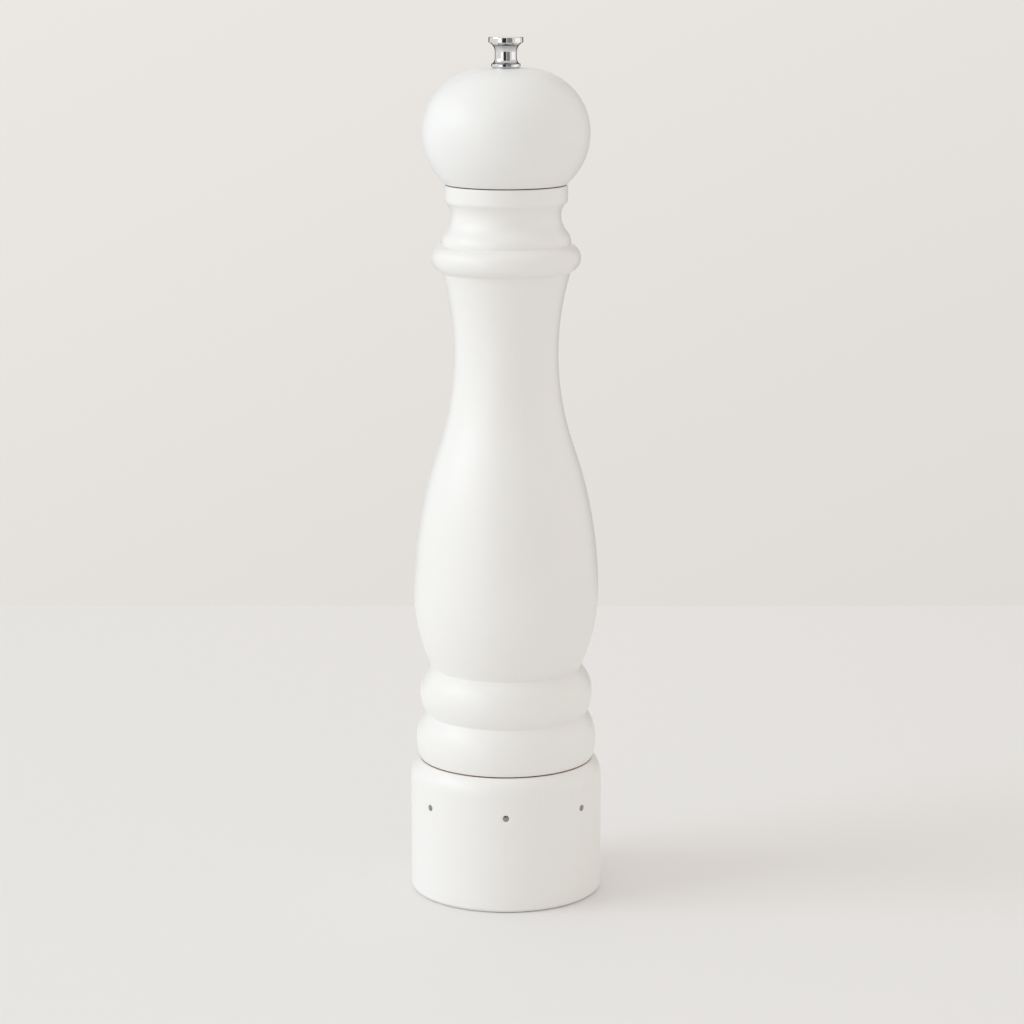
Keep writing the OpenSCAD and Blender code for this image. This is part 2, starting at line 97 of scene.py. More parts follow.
# %% [markdown]
# ## From an outline to a turned piece
# A turned piece could be drawn as a curve and spun with the Screw modifier. Here the
# outline is an array of (radius, height) points, because then a crease can be softened
# by plain smoothing along the line, and the finished surface is one array. The arcs are
# those of the design: each is fixed by its two ends and by standing upright at one.

# %% Arcs for outlines


def upright(start, finish, n=28):
    """Arc from start to finish that runs parallel to the axis at finish.

    Its radius is (dr^2 + dz^2) / (2 |dr|), which follows from its two ends.
    """
    start, finish = np.array(start, float), np.array(finish, float)
    dr, dz = finish - start
    rho = (dr**2 + dz**2) / (2 * abs(dr))
    turn = -np.arcsin(dz / rho) * (1 - np.linspace(0, 1, n + 1))
    r = finish[0] - np.sign(dr) * rho * (1 - np.cos(turn))
    return np.column_stack([r, finish[1] + rho * np.sin(turn)])


def crown(below, crest, above):
    """Swells, or sinks, from below to the crest and back to above."""
    return np.vstack([upright(below, crest), upright(above, crest)[::-1]])


def s_curve(start, finish, share):
    """Two arcs that meet smoothly, with the bend at this share of the way."""
    start, finish = np.array(start, float), np.array(finish, float)
    bend = start + (finish - start) * share
    return np.vstack([upright(bend, start)[::-1], upright(bend, finish)])


def arc(centre, radius, from_deg, to_deg, n=24):
    """Round stretch about a centre, between two angles in degrees."""
    angle = np.radians(np.linspace(from_deg, to_deg, n + 1))
    return np.array(centre) + radius * np.column_stack([np.cos(angle), np.sin(angle)])


print("an arc from (10, 0) to (8, 6):", np.round(upright((10, 0), (8, 6), n=2), 2).tolist())

# %% [markdown]
# Lacquer never leaves a knife-sharp edge: it pulls back from corners and fills grooves.
# The outline is laid out again in even small steps and averaged with a bell curve, which
# rounds each crease by about the bell's width. Then it is thinned, so that flat
# stretches take few points and tight bends take many.

# %% Soften and thin an outline


def even_steps(outline, step):
    """The same line with a point at each small equal step along it."""
    outline = outline[np.r_[True, np.linalg.norm(np.diff(outline, axis=0), axis=1) > 1e-9]]
    run = np.r_[0, np.cumsum(np.linalg.norm(np.diff(outline, axis=0), axis=1))]
    marks = np.linspace(0, run[-1], int(np.ceil(run[-1] / step)) + 1)
    return np.column_stack([np.interp(marks, run, outline[:, k]) for k in (0, 1)])


def soften(outline, bell, closed=True, step=0.06):
    """Averages the line with a bell curve this many millimetres wide."""
    line = even_steps(np.vstack([outline, outline[:1]]) if closed else outline, step)
    reach = int(np.ceil(3 * bell / step))
    weight = np.exp(-0.5 * (np.arange(-reach, reach + 1) * step / bell) ** 2)
    weight /= weight.sum()
    if closed:
        padded = np.vstack([line[-reach - 1:-1], line, line[1:reach + 1]])
    else:
        head = 2 * line[0] - line[reach:0:-1]
        tail = 2 * line[-1] - line[-2:-reach - 2:-1]
        padded = np.vstack([head, line, tail])
    return np.column_stack([np.convolve(padded[:, k], weight, "valid") for k in (0, 1)])


def thin(line, turn_deg=5.0, stride=3.5):
    """Keeps a point for each few degrees of bend and each few millimetres."""
    ahead = np.diff(line, axis=0)
    angle = np.unwrap(np.arctan2(ahead[:, 1], ahead[:, 0]))
    bend = np.r_[0, np.abs(np.diff(angle)), 0]
    length = np.r_[0, np.linalg.norm(ahead, axis=1)]
    cost = np.cumsum(bend / np.radians(turn_deg) + length / stride)
    cost -= cost[0]
    marks = np.linspace(0, cost[-1], int(np.ceil(cost[-1])) + 1)
    return np.column_stack([np.interp(marks, cost, line[:, k]) for k in (0, 1)])


sample = soften(np.array([(0, 0), (10, 0), (10, 10), (0, 10)], float), 0.2)
print(f"a softened square of 10 mm: {len(sample)} points, thinned to {len(thin(sample))}")

# %% [markdown]
# A piece is then one grid: rows along the outline, columns round the axis. A ring-shaped
# piece closes on itself both ways. One that reaches the axis ends in a single point at
# each pole, closed by a fan of triangles, and several of those may share one mesh. A
# signed volume says which way the faces look, and they are turned round if it comes out
# negative.

# %% Grids into meshes


def signed_volume(points, triangles):
    """Sum of the tetrahedra between the origin and each triangle."""
    a, b, c = (points[triangles[:, k]] for k in range(3))
    return np.einsum("ij,ij->i", a, np.cross(b, c)).sum() / 6


def grid_faces(rows, columns, loop_rows):
    """Quads between neighbouring rows, and round from the last column to the first."""
    last = rows if loop_rows else rows - 1
    i, j = np.meshgrid(np.arange(last), np.arange(columns), indexing="ij")
    row, next_row = i * columns, (i + 1) % rows * columns
    next_j = (j + 1) % columns
    return np.stack([row + j, row + next_j, next_row + next_j, next_row + j], -1).reshape(-1, 4)


def into_mesh(name, points, quads, fans=(), quad_finish=None):
    """Writes arrays of points and faces into a new smooth-shaded mesh object."""
    triangles = np.vstack([quads[:, [0, 1, 2]], quads[:, [0, 2, 3]], *fans])
    if signed_volume(points, triangles) < 0:
        quads = quads[:, ::-1]
        fans = [fan[:, ::-1] for fan in fans]
    corners = np.concatenate([quads.ravel(), *[fan.ravel() for fan in fans]])
    sizes = np.concatenate([np.full(len(quads), 4), *[np.full(len(fan), 3) for fan in fans]])
    mesh = bpy.data.meshes.new(name)
    mesh.vertices.add(len(points))
    mesh.vertices.foreach_set("co", (points * MM).astype(np.float32).ravel())
    mesh.loops.add(len(corners))
    mesh.loops.foreach_set("vertex_index", corners.astype(np.int32))
    mesh.polygons.add(len(sizes))
    starts = np.r_[0, np.cumsum(sizes)[:-1]].astype(np.int32)
    mesh.polygons.foreach_set("loop_start", starts)
    mesh.polygons.foreach_set("loop_total", sizes.astype(np.int32))
    if quad_finish is not None:
        extra = len(sizes) - len(quads)
        finish = np.r_[quad_finish, np.full(extra, quad_finish[-1])]
        mesh.polygons.foreach_set("material_index", finish.astype(np.int32))
    mesh.update(calc_edges=True)
    mesh.validate()
    mesh.shade_smooth()
    piece = bpy.data.objects.new(name, mesh)
    bpy.context.scene.collection.objects.link(piece)
    return piece


def wrap(name, grid, quad_finish=None):
    """A grid of points that closes on itself along both of its parameters."""
    rows, columns = grid.shape[:2]
    quads = grid_faces(rows, columns, loop_rows=True)
    return into_mesh(name, grid.reshape(-1, 3), quads, quad_finish=quad_finish)


def capped(name, skins):
    """Grids closed round an axis, each with a point and a fan of triangles at both ends."""
    points, quads, fans, start = [], [], [], 0
    for grid, (first_pole, last_pole) in skins:
        rows, columns = grid.shape[:2]
        pole = np.full(columns, rows * columns)
        j = np.arange(columns)
        next_j, top = (j + 1) % columns, (rows - 1) * columns
        points += [grid.reshape(-1, 3), first_pole[None], last_pole[None]]
        quads.append(grid_faces(rows, columns, loop_rows=False) + start)
        fans.append(np.column_stack([pole, next_j, j]) + start)
        fans.append(np.column_stack([pole + 1, top + j, top + next_j]) + start)
        start += rows * columns + 2
    return into_mesh(name, np.vstack(points), np.vstack(quads), fans)


def rounds(radius, angle, height):
    """Points (r cos a, r sin a, z) of arrays that fill each other out to one shape."""
    return np.stack(np.broadcast_arrays(radius * np.cos(angle), radius * np.sin(angle), height), -1)


def revolve(outline, angles):
    """Grid of an outline turned about the axis: a row for each of its points."""
    return rounds(outline[:, :1], angles, outline[:, 1:])


def on_axis(*heights):
    """Points on the mill's axis at these heights."""
    return rounds(0.0, 0.0, np.array(heights))


COLUMNS = 160
EVEN_ANGLES = np.linspace(0, 2 * np.pi, COLUMNS, endpoint=False)


def turned_ring(name, outline, bell, finish_of=None):
    """Turned piece with a hole through it: its closed outline goes round the wall.

    finish_of gives each strip of faces the number of its material, from its middle.
    """
    line = thin(soften(np.array(outline, float), bell))[:-1]
    chosen = None
    if finish_of is not None:
        middle = (line + np.roll(line, -1, axis=0)) / 2
        chosen = np.repeat(finish_of(*middle.T).astype(int), COLUMNS)
    return wrap(name, revolve(line, EVEN_ANGLES), chosen)


print(COLUMNS, "columns round a turned piece")

# %% [markdown]
# ## Put a piece in its place
# Every new piece takes its materials in order, moves with one of the frame's bodies,
# and stands in for the CAD node of the same part. These steps are the same each time,
# so one function takes them and prints what was made.

# %% Dress, fit and report


def dress(piece, *materials):
    """Gives a new piece these materials, in order."""
    for material in materials:
        piece.data.materials.append(material)


def report(piece):
    """Prints a piece's name, its number of faces and its size."""
    size = [round(d / MM, 1) for d in piece.dimensions]
    print(f"{piece.name}: {len(piece.data.polygons)} faces, {size} mm")


def fit(piece, body, replaces, materials):
    """Dresses a piece, lets it ride on a body and puts it in a CAD node's place."""
    dress(piece, *materials)
    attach(piece, body)
    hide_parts(replaces)
    report(piece)


# %% [markdown]
# ## Shader maths as Python
# A finish is a small calculation on the surface: noise, times a mask, plus a base value.
# In the node editor that is a web of Math nodes. This class wraps a socket and gives it
# the usual operators, so the calculation reads as one line and the nodes appear behind
# it. Any node at all comes from one method that takes its type, settings and inputs. The
# light of the room is worked out in the same way, by the nodes of a world.

# %% A class for sockets and one for finishes


class Wire:
    """A socket that can be added, subtracted, multiplied, compared and stepped."""

    def __init__(self, finish, socket):
        self.finish, self.socket = finish, socket

    def __add__(self, other):
        return self.finish.maths("ADD", self, other)

    def __sub__(self, other):
        return self.finish.maths("SUBTRACT", self, other)

    def __rsub__(self, other):
        return self.finish.maths("SUBTRACT", other, self)

    def __mul__(self, other):
        return self.finish.maths("MULTIPLY", self, other)

    __radd__ = __add__
    __rmul__ = __mul__

    def root(self):
        return self.finish.maths("POWER", self, 0.5)

    def size(self):
        return self.finish.maths("ABSOLUTE", self)

    def at_least(self, other):
        return self.finish.maths("MAXIMUM", self, other)

    def ramp(self, from_ends, to_ends=(0, 1), shape="LINEAR"):
        """Goes between the second pair of values as the socket goes between the first."""
        ends = zip(["From Min", "From Max", "To Min", "To Max"], [*from_ends, *to_ends])
        return self.finish.add(
            "ShaderNodeMapRange", {"interpolation_type": shape}, {"Value": self, **dict(ends)}
        )

    def step(self, edge, width):
        """Rises smoothly from 0 to 1 across a band of this width about the edge."""
        return self.ramp((edge - width / 2, edge + width / 2), shape="SMOOTHSTEP")


class Finish:
    """A material, or the room's world, and the nodes that work out its look."""

    def __init__(self, name, kind="materials", coordinates="Object"):
        self.owner = getattr(bpy.data, kind).new(name)
        self.owner.use_nodes = True
        self.tree = self.owner.node_tree
        self.tree.nodes.clear()
        self.place = self.add("ShaderNodeTexCoord", output=coordinates)

    def add(self, kind, settings=None, inputs=None, output=0):
        """Any node: its type, its settings, then the values or links of its sockets.

        The result is its first output, or another one, or nothing for a node without any.
        """
        node = self.tree.nodes.new(kind)
        for key, value in (settings or {}).items():
            setattr(node, key, value)
        for key, value in (inputs or {}).items():
            if isinstance(value, Wire):
                self.tree.links.new(value.socket, node.inputs[key])
            else:
                node.inputs[key].default_value = value
        return None if output is None else Wire(self, node.outputs[output])

    def maths(self, operation, *values):
        """A Math node on sockets or numbers."""
        return self.add("ShaderNodeMath", {"operation": operation}, dict(enumerate(values)))

    def scaled(self, x, y, z):
        """The coordinates times a factor along each axis."""
        settings = {"operation": "MULTIPLY"}
        return self.add("ShaderNodeVectorMath", settings, {0: self.place, 1: (x, y, z)})

    def noise(self, where, scale, detail=2.0, roughness=0.5):
        """Cloudy values about 0.5, with features 1 / scale metres across."""
        inputs = {"Vector": where, "Scale": scale, "Detail": detail, "Roughness": roughness}
        return self.add("ShaderNodeTexNoise", {}, inputs, output="Fac")

    def cells(self, where, scale):
        """Distance to the nearest of many scattered points."""
        return self.add("ShaderNodeTexVoronoi", {}, {"Vector": where, "Scale": scale}, output="Distance")

    def axes(self):
        """The three coordinates as separate values."""
        node = self.add("ShaderNodeSeparateXYZ", {}, {"Vector": self.place}).socket.node
        return [Wire(self, node.outputs[k]) for k in range(3)]

    def vector(self, x, y, z):
        return self.add("ShaderNodeCombineXYZ", {}, {0: x, 1: y, 2: z})

    def blend(self, factor, first, second):
        """Colour between two colours."""
        inputs = {0: factor, 6: first, 7: second}
        return self.add("ShaderNodeMix", {"data_type": "RGBA"}, inputs, output=2)

    def bump(self, height, depth, normal=None):
        """Normal of a surface raised by height, whose full swing is depth metres."""
        inputs = {"Height": height, "Distance": depth, "Strength": 1.0}
        if normal is not None:
            inputs["Normal"] = normal
        return self.add("ShaderNodeBump", {}, inputs)

    def surface(self, **sockets):
        """The Principled shader, with underscores for the spaces in socket names."""
        inputs = {key.replace("_", " "): value for key, value in sockets.items()}
        shader = self.add("ShaderNodeBsdfPrincipled", {}, inputs)
        self.add("ShaderNodeOutputMaterial", {}, {"Surface": shader}, output=None)
        return self.owner


# %% [markdown]
# ## White satin lacquer
# The wood is sprayed white, flatted and sprayed again. Up close the film isn't a flat
# white: the beech's long pores still show as hair-thin lines, the spray leaves a fine
# orange peel, and handling polishes some areas more than others. One noise stretched
# along the axis makes the pores, one fine even noise the peel, and one broad noise the
# change in gloss and warmth.

# %% Make the lacquers


def lacquer(name, white, warm, gloss):
    """White satin lacquer over beech. gloss is its mean roughness."""
    f = Finish(name)
    pores = f.noise(f.scaled(1, 1, 0.022), 1500, detail=3.0)
    pore_mask = pores.step(0.66, 0.12)
    broad = f.noise(f.place, 26, detail=2.0)
    peel = f.noise(f.place, 620, detail=1.0)
    colour = f.blend(broad.step(0.5, 0.5) * 0.55 + pore_mask * 0.35, white, warm)
    surface = f.bump(peel, 0.000020, f.bump(pore_mask, -0.000008))
    rough = gloss + (broad - 0.5) * 0.10 + (peel - 0.5) * 0.06 + pore_mask * 0.05
    return f.surface(
        Base_Color=colour, Roughness=rough, Normal=surface, IOR=1.48, Specular_IOR_Level=0.45
    )


white_body = lacquer("white_lacquer", (0.885, 0.872, 0.856, 1), (0.862, 0.846, 0.820, 1), 0.36)
white_head = lacquer("white_lacquer_head", (0.880, 0.877, 0.868, 1), (0.860, 0.852, 0.835, 1), 0.44)
print("made", white_body.name, "and", white_head.name)

# %% [markdown]
# ## Bare beech
# Inside its bores and on the faces that turn past each other the mill has no lacquer.
# Beech is pale pinkish brown, with soft growth bands and many short darker flecks that
# run with the grain. The bands are a wave across the wood and the flecks a noise that is
# twenty times longer than it is wide. On an end face the same noise shows as dots, as the
# real flecks do.

# %% Make the beech


def bare_beech():
    """Unfinished turned beech, with bands, flecks and turning marks."""
    f = Finish("bare_beech")
    x, y, z = f.axes()
    across = (x * 0.94 + y * 0.34 + f.noise(f.scaled(1, 1, 0.2), 55) * 0.006) * 420
    band = f.maths("SINE", across) * 0.5 + 0.5
    fleck = f.noise(f.scaled(1, 1, 0.05), 2200, detail=2.0).step(0.63, 0.10)
    grain = f.noise(f.scaled(1, 1, 0.03), 900, detail=4.0)
    pale = f.blend(band * 0.45 + grain * 0.3, (0.640, 0.455, 0.285, 1), (0.480, 0.315, 0.180, 1))
    colour = f.blend(fleck * 0.55, pale, (0.300, 0.175, 0.095, 1))
    turning = f.noise(f.vector(0.0, 0.0, z), 2600, detail=1.0)
    surface = f.bump(grain * 0.6 + turning * 0.4 - fleck * 0.5, 0.00006)
    return f.surface(Base_Color=colour, Roughness=0.62 + (grain - 0.5) * 0.2, Normal=surface)


beech = bare_beech()
print("made", beech.name)

# %% [markdown]
# ## The metals
# Turned steel carries fine rings about its axis, so its pattern reads the distance from
# the axis and the height. The same finish serves plates, studs, wire and black screws,
# with other shades. The burrs are hardened, left grey from the quench and a little dusty
# from use. Chrome is nearly a mirror, with the faint hairlines of wiping. In the knob's two
# creases it is painted near-black and made rougher: painted shade for the shadow and dark
# reflection that lie there.

# %% Make the metals


def turned_steel(name, light, dark, rough, ring_depth):
    """Steel with turning rings about the axis and faint stains."""
    f = Finish(name)
    x, y, z = f.axes()
    radius = (x * x + y * y).root()
    rings = f.noise(f.vector(radius, 0.0, z), 5200, detail=2.0)
    cloud = f.noise(f.place, 140, detail=3.0)
    colour = f.blend(cloud.step(0.5, 0.6) * 0.45 + rings * 0.5, light, dark)
    return f.surface(
        Base_Color=colour,
        Metallic=1.0,
        Roughness=rough + (rings - 0.5) * 0.16 + (cloud - 0.5) * 0.12,
        Normal=f.bump(rings, ring_depth),
    )


def polished_chrome(creases):
    """Chrome plate: a mirror with hairlines from wiping, and painted shade in two creases.

    Each crease is a height and a reach, in millimetres: the painted shade, a near-black
    that stands for the shadow and dark reflection there, is densest at the crease and
    fades out over the reach, which is negative if it goes down.
    """
    f = Finish("polished_chrome")
    height = f.axes()[2]
    hair = f.noise(f.scaled(1, 1, 0.06), 9000, detail=2.0).step(0.64, 0.1)
    haze = f.noise(f.place, 420, detail=2.0)
    # Painted shade: near-black at each crease, fading over its reach, with more roughness there.
    crease_shade = 0.0
    for crease, reach in creases:
        away = height - crease * MM
        line = 1 - away.size().step(0.00015, 0.00016)
        trail = (1 - away * (1 / (reach * MM))) * f.maths("SIGN", away * reach) * 0.62
        crease_shade = crease_shade + line.at_least(trail.at_least(0.0))
    crease_shade = crease_shade * (0.7 + 0.3 * f.noise(f.place, 1600))
    unshaded_chrome = f.blend(haze * 0.5, (0.83, 0.835, 0.845, 1), (0.77, 0.775, 0.785, 1))
    colour = f.blend(crease_shade, unshaded_chrome, (0.035, 0.034, 0.033, 1))
    rough = 0.045 + haze * 0.04 + hair * 0.05 + crease_shade * 0.35
    return f.surface(Base_Color=colour, Metallic=1.0, Roughness=rough, Normal=f.bump(haze, 0.0000015))


def burr_steel():
    """Hardened burr steel: quench grey with faint cutter rings and a little pepper dust."""
    f = Finish("burr_steel")
    x, y, z = f.axes()
    radius = (x * x + y * y).root()
    rings = f.noise(f.vector(radius, 0.0, z), 3600, detail=2.0)
    grain = f.noise(f.place, 6000, detail=2.0)
    cloud = f.noise(f.place, 210, detail=3.0)
    dust = 1 - f.cells(f.place, 1700).step(0.24, 0.16)
    specks = dust * f.noise(f.place, 190, detail=2.0).step(0.62, 0.14)
    shade = cloud.step(0.5, 0.5) * 0.65 + rings * 0.2 + grain * 0.15
    metal = f.blend(shade, (0.40, 0.40, 0.405, 1), (0.225, 0.225, 0.235, 1))
    colour = f.blend(specks * 0.6, metal, (0.085, 0.052, 0.030, 1))
    return f.surface(
        Base_Color=colour,
        Metallic=1 - specks * 0.9,
        Roughness=0.34 + (cloud - 0.5) * 0.2 + (rings - 0.5) * 0.14 + specks * 0.4,
        Normal=f.bump(rings * 0.6 + grain * 0.4 + specks * 1.5, 0.000012),
    )


knob_bottom, knob_top = low("knob")[2], high("knob")[2]
bevel_h = 0.75
foot_h = 1.15
disc_bottom = knob_top - 2.0
bevel_bottom = disc_bottom - bevel_h
foot_top = knob_bottom + foot_h
# The knob's two creases, below the bevel and above the foot, carry painted shade.
chrome = polished_chrome([(bevel_bottom - 0.08, -2.4), (foot_top + 0.05, 1.3)])
steel = turned_steel("turned_steel", (0.56, 0.565, 0.57, 1), (0.43, 0.43, 0.435, 1), 0.30, 0.000006)
black_steel = turned_steel("black_steel", (0.16, 0.16, 0.165, 1), (0.085, 0.085, 0.09, 1), 0.34, 0.000005)
pin_steel = turned_steel("pin_steel", (0.40, 0.40, 0.405, 1), (0.25, 0.25, 0.255, 1), 0.20, 0.000003)
wire_steel = turned_steel("drawn_wire", (0.47, 0.475, 0.49, 1), (0.36, 0.36, 0.37, 1), 0.24, 0.000003)
burr = burr_steel()
print("made", ", ".join(m.name for m in (chrome, steel, black_steel, pin_steel, wire_steel, burr)))

# %% [markdown]
# ## Nylon and fibre
# The bushes, the guide and the adjusting nut are moulded nylon, an ivory plastic with a
# faint mould texture and flow clouds. The slip washer under the body is fibre painted
# near-black: painted shade for the gap above the base ring, so the seam reads as a dark line.

# %% Make the plastics


def moulded_nylon():
    """Natural nylon with spark-eroded mould texture."""
    f = Finish("nylon")
    texture = f.noise(f.place, 2600, detail=2.0)
    flow = f.noise(f.scaled(1, 1, 0.4), 95, detail=2.0)
    colour = f.blend(flow.step(0.5, 0.5), (0.700, 0.670, 0.585, 1), (0.620, 0.585, 0.490, 1))
    return f.surface(
        Base_Color=colour,
        Roughness=0.42 + (texture - 0.5) * 0.14,
        Normal=f.bump(texture, 0.000012),
        Subsurface_Weight=0.12,
        Subsurface_Radius=(0.0012, 0.0010, 0.0008),
        Subsurface_Scale=1.0,
    )


def fibre_with_seam_shade():
    """Fibre with a felted surface, painted near-black as the shade in the seam gap."""
    f = Finish("dark_fibre")
    felt = f.noise(f.place, 3400, detail=4.0, roughness=0.7)
    # Painted shade: the near-black colour stands for the shadow in the gap above the base ring.
    colour = f.blend(felt, (0.012, 0.011, 0.011, 1), (0.035, 0.031, 0.028, 1))
    return f.surface(Base_Color=colour, Roughness=0.75 + (felt - 0.5) * 0.2, Normal=f.bump(felt, 0.00003))


nylon = moulded_nylon()
fibre = fibre_with_seam_shade()
print("made", nylon.name, "and", fibre.name)

# %% [markdown]
# ## The body
# One long turning: a tenon that drops into the base ring, two beads, the belly, the neck,
# the collar bead, an ogee with its cove, and a plain band under the head. The outline
# goes up the outside, back down through the mouth and the peppercorn chamber, and round
# the cup that holds the mechanism. What faces another part is bare beech.

# %% Turn the body
seam_r = 30.5
lower_bead = (31.7, 54.5)
bead_groove = (28.4, 64.3)
upper_bead = (30.3, 71.3)
belly_groove = (26.3, 80.8)
belly = (high("body")[0], 108.3)
neck = (18.15, 191.8)
belly_share = 0.6
collar_centre = (20.85, 224.8)
collar_round = 5.0
collar_sweep = 72
step_r = 22.5
cove = (18.97, 239.5)
band_r = 21.3
band_bottom = body_top - 5.0
chamber_r = 13.0
cup_r = high("upper_guide")[1] + 0.1
cup_above_bush = 6.2
cup_top = low("spindle_bush")[2] + cup_above_bush
tenon_r = 26.0

collar = arc(collar_centre, collar_round, -collar_sweep, collar_sweep)
body_outline = np.vstack([
    [(cup_r, tenon_bottom), (tenon_r, tenon_bottom), (tenon_r, body_bottom)],
    crown((seam_r, body_bottom), lower_bead, bead_groove),
    crown(bead_groove, upper_bead, belly_groove),
    upright(belly_groove, belly),
    s_curve(belly, neck, belly_share),
    upright(collar[0], neck)[::-1],
    collar,
    s_curve((step_r, collar[-1][1] + 0.45), cove, 0.4),
    upright((band_r - 0.2, band_bottom - 0.8), cove)[::-1],
    [(band_r, band_bottom)],
    arc((band_r - 0.4, body_top - 0.4), 0.4, 0, 90),
    [(bush_r, body_top), (bush_r, bush_bottom), (chamber_r, bush_bottom)],
    [(chamber_r, cup_top), (cup_r, cup_top)],
])


def body_bare(r, z):
    """1 where the body has no lacquer: its bores, tenon, mouth and underside."""
    mouth = (z > body_top - 0.06) & (r < band_r - 0.7)
    foot = (z < body_bottom + 0.05) & (r < seam_r - 0.8)
    inside = (r < bush_r + 0.2) | ((z < cup_top + 1) & (r < cup_r + 0.2))
    return mouth | foot | inside


mill_body = turned_ring("turned_body", body_outline, bell=0.16, finish_of=body_bare)
fit(mill_body, body="mill_body", replaces="body", materials=[white_body, beech])

# %% [markdown]
# ## The head
# The head is a squashed ball with a flat crown for the knob, and a tenon below that turns
# in the neck's bush. Its widest point is below the middle, so the lower arc is tighter
# than a circle's. The spindle passes through a bore that is wider below, where the
# spindle is square.

# %% Turn the head
head_belly = (head_r, 267.5)
head_flat_r = 7.1
head_tenon_r = 14.0
head_edge_r = 21.5
head_edge = 0.5
square_bore_r = 4.0
round_bore_r = 3.0
bore_step = 247.0

head_outline = np.vstack([
    [(square_bore_r, plate_top), (head_tenon_r, plate_top), (head_tenon_r, head_bottom)],
    [(head_edge_r - head_edge, head_bottom)],
    crown((head_edge_r, head_bottom + head_edge), head_belly, (head_flat_r, head_top)),
    [(round_bore_r, head_top), (round_bore_r, bore_step), (square_bore_r, bore_step)],
])


def head_bare(r, z):
    """1 on the tenon, the bores and the face that turns on the body."""
    under = (z < head_bottom + 0.06) & (r < head_edge_r - 1.2)
    bore = (r < square_bore_r + 0.1) & (z < head_top - 0.3)
    return under | bore


mill_head = turned_ring("turned_head", head_outline, bell=0.16, finish_of=head_bare)
fit(mill_head, body="head", replaces="head", materials=[white_head, beech])

# %% [markdown]
# ## The base ring and its setting marks
# The ring is a plain cup with a rounded shoulder. Six small steel pins are let into it,
# one for each grind setting, each in a shallow dimple that the lacquer has flowed into.
# The dimple could be a Boolean, which leaves untidy faces on a smooth wall. Here the
# grid itself is denser around each pin, and the wall's radius is drawn in by a smooth
# bump of the distance to the pin.

# %% Turn the base ring
pin_z = (low("setting_pins")[2] + high("setting_pins")[2]) / 2
pin_r = (high("setting_pins")[2] - low("setting_pins")[2]) / 2
setting_pitch = 52
settings = 6
pin_angles = np.radians([setting_pitch * (k - 3) - 90 for k in range(settings)])
shoulder = (30.8, base_top)
shoulder_z = 41.2
foot_round = 1.6
base_bore_r = 28.0
lip_r = 26.3
lip_depth = 7.75
lip_bottom = base_top - lip_depth
dimple_r = 1.75
dimple_depth = 0.20
dense_reach = 2.4

pin_rows = np.linspace(pin_z - dense_reach, pin_z + dense_reach, 29)
base_outline = np.vstack([
    [(base_bore_r, 0), (base_r - foot_round, 0)],
    arc((base_r - foot_round, foot_round), foot_round, -90, 0),
    upright(shoulder, (base_r, shoulder_z))[::-1],
    [(lip_r, base_top), (lip_r, lip_bottom), (base_bore_r, lip_bottom)],
])


def dense_angles(centres, reach, count):
    """Even angles, with more of them within reach of each centre."""
    offsets = np.linspace(-reach, reach, count)
    near = (centres[:, None] + offsets).ravel() % (2 * np.pi)
    gap = np.abs((EVEN_ANGLES[:, None] - centres + np.pi) % (2 * np.pi) - np.pi).min(axis=1)
    return np.sort(np.r_[EVEN_ANGLES[gap > reach * 1.15], near])


def dense_rows(line, heights, outer_r):
    """The thinned line with extra rows at these heights on its outer wall."""
    start = np.flatnonzero((line[:, 0] > outer_r - 0.01) & (line[:, 1] < heights[0]))[-1] + 1
    end = np.flatnonzero((line[:, 0] > outer_r - 0.01) & (line[:, 1] > heights[-1]))[0]
    wall = np.column_stack([np.full(len(heights), outer_r), heights])
    return np.vstack([line[:start], wall, line[end:]])


def dimpled(grid):
    """Draws the outer wall in around each pin by depth times a smooth bump."""
    angle = np.arctan2(grid[..., 1], grid[..., 0])
    radius = np.hypot(grid[..., 0], grid[..., 1])
    gap = np.abs((angle[..., None] - pin_angles + np.pi) % (2 * np.pi) - np.pi).min(axis=-1)
    distance = np.hypot(gap * base_r, grid[..., 2] - pin_z)
    inner = np.clip((dimple_r - distance) / (dimple_r - pin_r), 0, 1)
    drawn_in = dimple_depth * inner * inner * (3 - 2 * inner) * (radius > base_r - 0.5)
    return grid * np.stack([1 - drawn_in / radius] * 2 + [np.ones_like(radius)], -1)


def base_bare(r, z):
    """1 inside the ring, under its foot and on the lip that carries the washer."""
    foot = (z < 0.05) & (r < base_r - foot_round - 0.3)
    top = (z > base_top - 0.05) & (r < shoulder[0] - 0.7)
    return (r < base_bore_r + 0.25) | foot | top


base_line = dense_rows(thin(soften(base_outline, 0.16))[:-1], pin_rows, base_r)
base_angles = dense_angles(pin_angles, (dense_reach + 0.2) / base_r, 23)
base_grid = dimpled(revolve(base_line, base_angles))
base_middle = (base_line + np.roll(base_line, -1, axis=0)) / 2
base_finish = np.repeat(base_bare(*base_middle.T).astype(int), len(base_angles))
base_ring = wrap("turned_base_ring", base_grid, base_finish)
fit(base_ring, body="base", replaces="base_ring", materials=[white_body, beech])

# %% [markdown]
# Each pin is a turned stud with a low dome. Its outline is turned about its own axis and
# then laid level, facing out from the mill at its setting's angle. All six are one piece.

# %% Set the pins
pin_length = 8.4
pin_inner = -low("setting_pins")[1] - pin_length
pin_face = base_r - 0.02
dome = 0.16
dome_steps = np.array([0.99, 0.95, 0.88, 0.8, 0.65, 0.5, 0.35, 0.2, 0.08])


